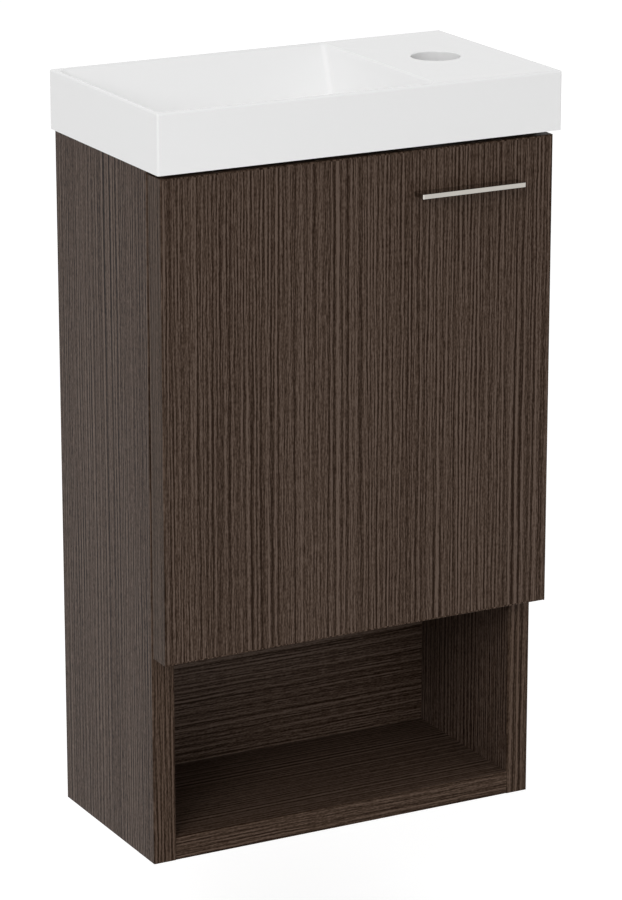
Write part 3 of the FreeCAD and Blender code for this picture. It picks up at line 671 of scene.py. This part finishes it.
def screw_points(head_radius, head_height, shank_radius, length, pitch, tip):
    """Points about the axis +Z with the head's seat at nought: rows, columns and three places.

    Head: the height is a half ellipse on a low wall, less the recess. The recess is open where the
    lesser of |x| and |y| is under half an arm's width, and its depth falls with the root of the
    distance to the arm's end. Shank: the radius is a core plus a triangular tooth, once per pitch
    and a pitch later for each turn; over the tip it shrinks to nought.
    """
    turn = np.linspace(0, 2 * np.pi, SCREW_SIDES, endpoint=False)[None, :]
    ring = np.linspace(0, 1, HEAD_RINGS)[:, None]
    x = np.abs(ring * np.cos(turn))
    y = np.abs(ring * np.sin(turn))
    in_arm = np.clip((ARM_HALF_WIDTH - np.minimum(x, y)) / ARM_WALL + 0.5, 0, 1)
    recess = RECESS_DEPTH * in_arm * np.sqrt(np.clip(1 - np.maximum(x, y) / ARM_REACH, 0, 1))
    crown = HEAD_WALL + (1 - HEAD_WALL) * np.sqrt(1 - ring ** 2)
    down = np.linspace(0, length, int(ROWS_PER_TURN * length / pitch))[:, None]
    phase = (down / pitch + turn / (2 * np.pi)) % 1
    tooth = np.clip(1 - np.abs(phase - 0.5) / TOOTH_HALF_WIDTH, 0, 1)
    shank = (shank_radius - TOOTH_DEPTH * pitch * (1 - tooth)) * np.clip((length - down) / tip, 0, 1)
    rim = np.ones_like(turn)
    radius = np.concatenate([head_radius * ring * rim, head_radius * rim, shank])
    height = np.concatenate([head_height * (crown - recess), 0 * rim, -down * rim])
    return np.stack([radius * np.cos(turn), radius * np.sin(turn), height], axis=-1)


print("a screw's head has", HEAD_RINGS * SCREW_SIDES, "points")

# %% The skin of a turned shape
TURNED_CREASE = math.radians(35)


def turned_mesh(name, grids):
    """One mesh of closed skins, all of one shape; each grid's first and last row become one point."""
    rows, columns = grids[0].shape[:2]
    index = 1 + np.arange((rows - 2) * columns).reshape(rows - 2, columns)
    onward = np.roll(index, -1, axis=1)
    count = index.size + 2
    quads = np.stack([index[:-1], index[1:], onward[1:], onward[:-1]], axis=-1).reshape(-1, 4)
    start = np.stack([np.zeros(columns, int), index[0], onward[0]], axis=-1)
    finish = np.stack([index[-1], np.full(columns, count - 1), onward[-1]], axis=-1)
    points = np.concatenate([part.reshape(-1, 3) for grid in grids
                             for part in (grid[0, :1], grid[1:-1], grid[-1, :1])])
    faces = [face for number in range(len(grids)) for fan in (quads, start, finish)
             for face in (fan + number * count).tolist()]
    mesh = bpy.data.meshes.new(name)
    mesh.from_pydata(points.tolist(), [], faces)
    mesh.shade_smooth()
    mesh.set_sharp_from_angle(angle=TURNED_CREASE)
    return mesh


print("turned shapes have edges where faces turn by", round(math.degrees(TURNED_CREASE)), "degrees or more")

# %% [markdown]
# ## The screws in their places
# Where each screw sits is read from the boxes of the pegs, so that both agree.
# The chipboard screws that hold the hinges have a coarse thread and a point; the
# two that hold the handle from inside the door have a fine machine thread.

# %% Screws at their seats


def place_screws(node_name, body, toward, head_height, shank, thread, radius, seats):
    """Screws at the seats, with their heads towards +X (0) or +Y (1), in place of the pegs."""
    low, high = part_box(node_name)
    length = high[toward] - low[toward] - head_height
    turned = np.roll(screw_points(radius, head_height, shank, length, **thread), toward + 1, axis=-1)
    places = np.array(seats)
    places[:, toward] = high[toward] - head_height
    mesh = turned_mesh(node_name + "_threaded", [turned + place for place in places])
    mesh.materials.append(nickel)
    piece = bpy.data.objects.new(mesh.name, mesh)
    scene.collection.objects.link(piece)
    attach(piece, body)
    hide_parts(node_name)
    print(piece.name, len(seats), "screws of", round(1000 * length, 1), "mm,", len(mesh.polygons), "faces")


print("screws are dressed in", nickel.name)

# %% Hinge screws
HINGE_HEAD = 0.0018
HINGE_SHANK = 0.0020
CHIPBOARD_THREAD = {"pitch": 0.0018, "tip": 0.0040}
hinge_levels = [sum(corner.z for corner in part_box(level + "_hinge_plate")) / 2
                for level in ("upper", "lower")]


def hinge_seats(node_name, toward):
    """Head radius, and seats above and below each hinge's middle, or in it where it has one peg."""
    low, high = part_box(node_name)
    radius = (high[1 - toward] - low[1 - toward]) / 2
    spread = high.z - radius - hinge_levels[0]
    middle = (low + high) / 2
    steps = (-spread, spread) if spread > radius else (0,)
    return radius, [(middle.x, middle.y, level + step) for level in hinge_levels for step in steps]


for node_name, body, toward in (("hinge_plate_screws", "cabinet", 0), ("hinge_arm_screws", "cabinet", 0),
                                ("hinge_cup_screws", "door", 1)):
    place_screws(node_name, body, toward, HINGE_HEAD, HINGE_SHANK, CHIPBOARD_THREAD,
                 *hinge_seats(node_name, toward))

# %% Handle screws
HANDLE_HEAD = 0.0024
HANDLE_SHANK = 0.0015
MACHINE_THREAD = {"pitch": 0.0005, "tip": 0.0008}
pegs_low, pegs_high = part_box("handle_screws")
handle_head_radius = (pegs_high.z - pegs_low.z) / 2
handle_seats = [(x, 0, (pegs_low.z + pegs_high.z) / 2)
                for x in (pegs_low.x + handle_head_radius, pegs_high.x - handle_head_radius)]
place_screws("handle_screws", "door", 1, HANDLE_HEAD, HANDLE_SHANK, MACHINE_THREAD,
             handle_head_radius, handle_seats)

# %% [markdown]
# ## A slimmer rim for the bowl
# The solid casting has a broad rim and wide bowl corners. In the picture the rim
# is a narrow line and the walls meet in tight corners, so a second, slightly
# wider bowl is cut out of a copy of the casting. The cutter is a stack of level
# rounded rectangles: it opens out over the deck, rounds the rim, follows the
# sloping walls and turns into the floor. It takes the old bowl's whole skin away,
# while the waste hole, the tap hole and the outside stay as they were cast.

# %% The wider bowl
BOWL_RIM = {"left": 0.005, "right": 0.1267, "front": 0.006, "back": 0.008}
BOWL_SLOPE = {"left": 0.593, "right": 0.125, "front": 1.028, "back": 0.6}
BOWL_CORNERS = (0.005, 0.009, 0.008, 0.008)
BOWL_DEPTH = 0.0723
RIM_ROUNDING = 0.0022
FLOOR_ROUNDING = 0.005
FIRST_SHARE = 0.15
CUTTER_OVERLAP = 0.0005
CUTTER_TOP = 0.005
ROUNDING_ROWS = 9
CORNER_POINTS = 12


def bowl_points(low, high):
    """The cutter between the corners of the basin's box: rows, columns and three places.

    Each side of a rectangle moves inwards by its slope times the depth. Over the rim the depth is
    the rounding times u squared and the rectangle is wider by the rounding times (1 - u) squared,
    a parabola from deck to wall; straight on along its tangent it leaves the deck. At the floor
    v plays the same part from wall to floor. Each corner is a quarter circle.
    """
    u = np.linspace(FIRST_SHARE, 1, ROUNDING_ROWS)
    v = np.linspace(0, 1, ROUNDING_ROWS)
    widest = RIM_ROUNDING * (1 - u[0]) ** 2
    widest += (RIM_ROUNDING * u[0] ** 2 + CUTTER_OVERLAP) * (1 - u[0]) / u[0]
    depth = np.concatenate([[-CUTTER_TOP, -CUTTER_OVERLAP], RIM_ROUNDING * u ** 2,
                            BOWL_DEPTH - FLOOR_ROUNDING * (1 - v) ** 2])
    wider = np.concatenate([[widest, widest], RIM_ROUNDING * (1 - u) ** 2, -FLOOR_ROUNDING * v ** 2])
    inset = {side: BOWL_RIM[side] + BOWL_SLOPE[side] * depth - wider for side in BOWL_RIM}
    right, left = high.x - inset["right"], low.x + inset["left"]
    front, back = low.y + inset["front"], high.y - inset["back"]
    radius = np.array(BOWL_CORNERS)[None, :, None] + np.maximum(wider, 0)[:, None, None]
    corner_x = np.stack([right, left, left, right], axis=-1)[:, :, None]
    corner_y = np.stack([back, back, front, front], axis=-1)[:, :, None]
    inward_x = np.array([-1, 1, 1, -1])[None, :, None]
    inward_y = np.array([-1, -1, 1, 1])[None, :, None]
    first_turn = np.arange(4)[None, :, None] * QUARTER_TURN
    turn = first_turn + np.linspace(0, QUARTER_TURN, CORNER_POINTS)
    x = (corner_x + radius * (inward_x + np.cos(turn))).reshape(len(depth), -1)
    y = (corner_y + radius * (inward_y + np.sin(turn))).reshape(len(depth), -1)
    rings = np.stack([x, y, np.broadcast_to(high.z - depth[:, None], x.shape)], axis=-1)
    ends = [np.broadcast_to(ring.mean(axis=0), ring.shape)[None] for ring in (rings[0], rings[-1])]
    return np.concatenate([ends[0], rings, ends[1]])


basin_low, basin_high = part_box("basin")
cutter_mesh = turned_mesh("wider_bowl", [bowl_points(basin_low, basin_high)])
cutter = bpy.data.objects.new("wider_bowl", cutter_mesh)
scene.collection.objects.link(cutter)
print("the cutter has", len(cutter.data.polygons), "faces")

# %% [markdown]
# ## A deeper tap hole
# Seen at a slant, the tap hole of the thin deck would show the dark cavity below.
# A boss under the deck, a plain ring, makes its wall deeper. The ring is a hair
# wider inside than the hole, so that no two surfaces lie in each other.

# %% The boss round the tap hole
TAP_FROM_RIGHT = 0.0665
TAP_FROM_FRONT = 0.111
BOSS_RADII = (0.0226, 0.0290)
BOSS_DEPTHS = (0.011, 0.021)
BOSS_SIDES = 96


def boss_points(low, high):
    """A rectangle, between two radii and two depths, turned about the tap hole's axis."""
    inner, outer = BOSS_RADII
    upper, lower = BOSS_DEPTHS
    radius = np.array([outer, inner, inner, outer])[:, None]
    depth = np.array([upper, upper, lower, lower])[:, None]
    turn = np.linspace(0, 2 * np.pi, BOSS_SIDES, endpoint=False)[None, :]
    x = high.x - TAP_FROM_RIGHT + radius * np.cos(turn)
    y = low.y + TAP_FROM_FRONT + radius * np.sin(turn)
    return np.stack([x, y, np.broadcast_to(high.z - depth, x.shape)], axis=-1)


boss_mesh = grid_mesh("tap_boss", boss_points(basin_low, basin_high), closed=True)
boss = bpy.data.objects.new("tap_boss", boss_mesh)
scene.collection.objects.link(boss)
print("the boss has", len(boss.data.polygons), "faces")

# %% [markdown]
# ## The new basin
# A CAD mesh is a heap of loose triangles, so its copy is merged first. Two exact
# Boolean steps then take the bowl out and add the boss, and the result is kept as
# one plain mesh. Normals weighted by area keep the flat deck flat next to the
# narrow roundings.

# %% Cut the casting
MERGE_DISTANCE = 0.000001
BASIN_CREASE = math.radians(30)


def boolean_step(piece, operation, tool):
    """Joins a tool shape to a piece, or takes it away."""
    step = piece.modifiers.new(tool.name, "BOOLEAN")
    step.operation = operation
    step.solver = "EXACT"
    step.object = tool


casting = nodes["basin"].data.copy()
skin = bmesh.new()
skin.from_mesh(casting)
bmesh.ops.remove_doubles(skin, verts=skin.verts, dist=MERGE_DISTANCE)
skin.to_mesh(casting)
skin.free()
slim_basin = bpy.data.objects.new("basin_slim_rim", casting)
scene.collection.objects.link(slim_basin)
boolean_step(slim_basin, "DIFFERENCE", cutter)
boolean_step(slim_basin, "UNION", boss)
carved = bpy.data.meshes.new_from_object(slim_basin.evaluated_get(bpy.context.evaluated_depsgraph_get()))
slim_basin.modifiers.clear()
slim_basin.data = carved
bpy.data.objects.remove(cutter)
bpy.data.objects.remove(boss)
carved.materials.clear()
carved.materials.append(glaze)
carved.shade_smooth()
carved.set_sharp_from_angle(angle=BASIN_CREASE)
even_shading = slim_basin.modifiers.new("even_shading", "WEIGHTED_NORMAL")
even_shading.keep_sharp = True
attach(slim_basin, "cabinet")
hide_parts("basin")
print("basin:", len(casting.polygons), "faces before the cut,", len(carved.polygons), "after")
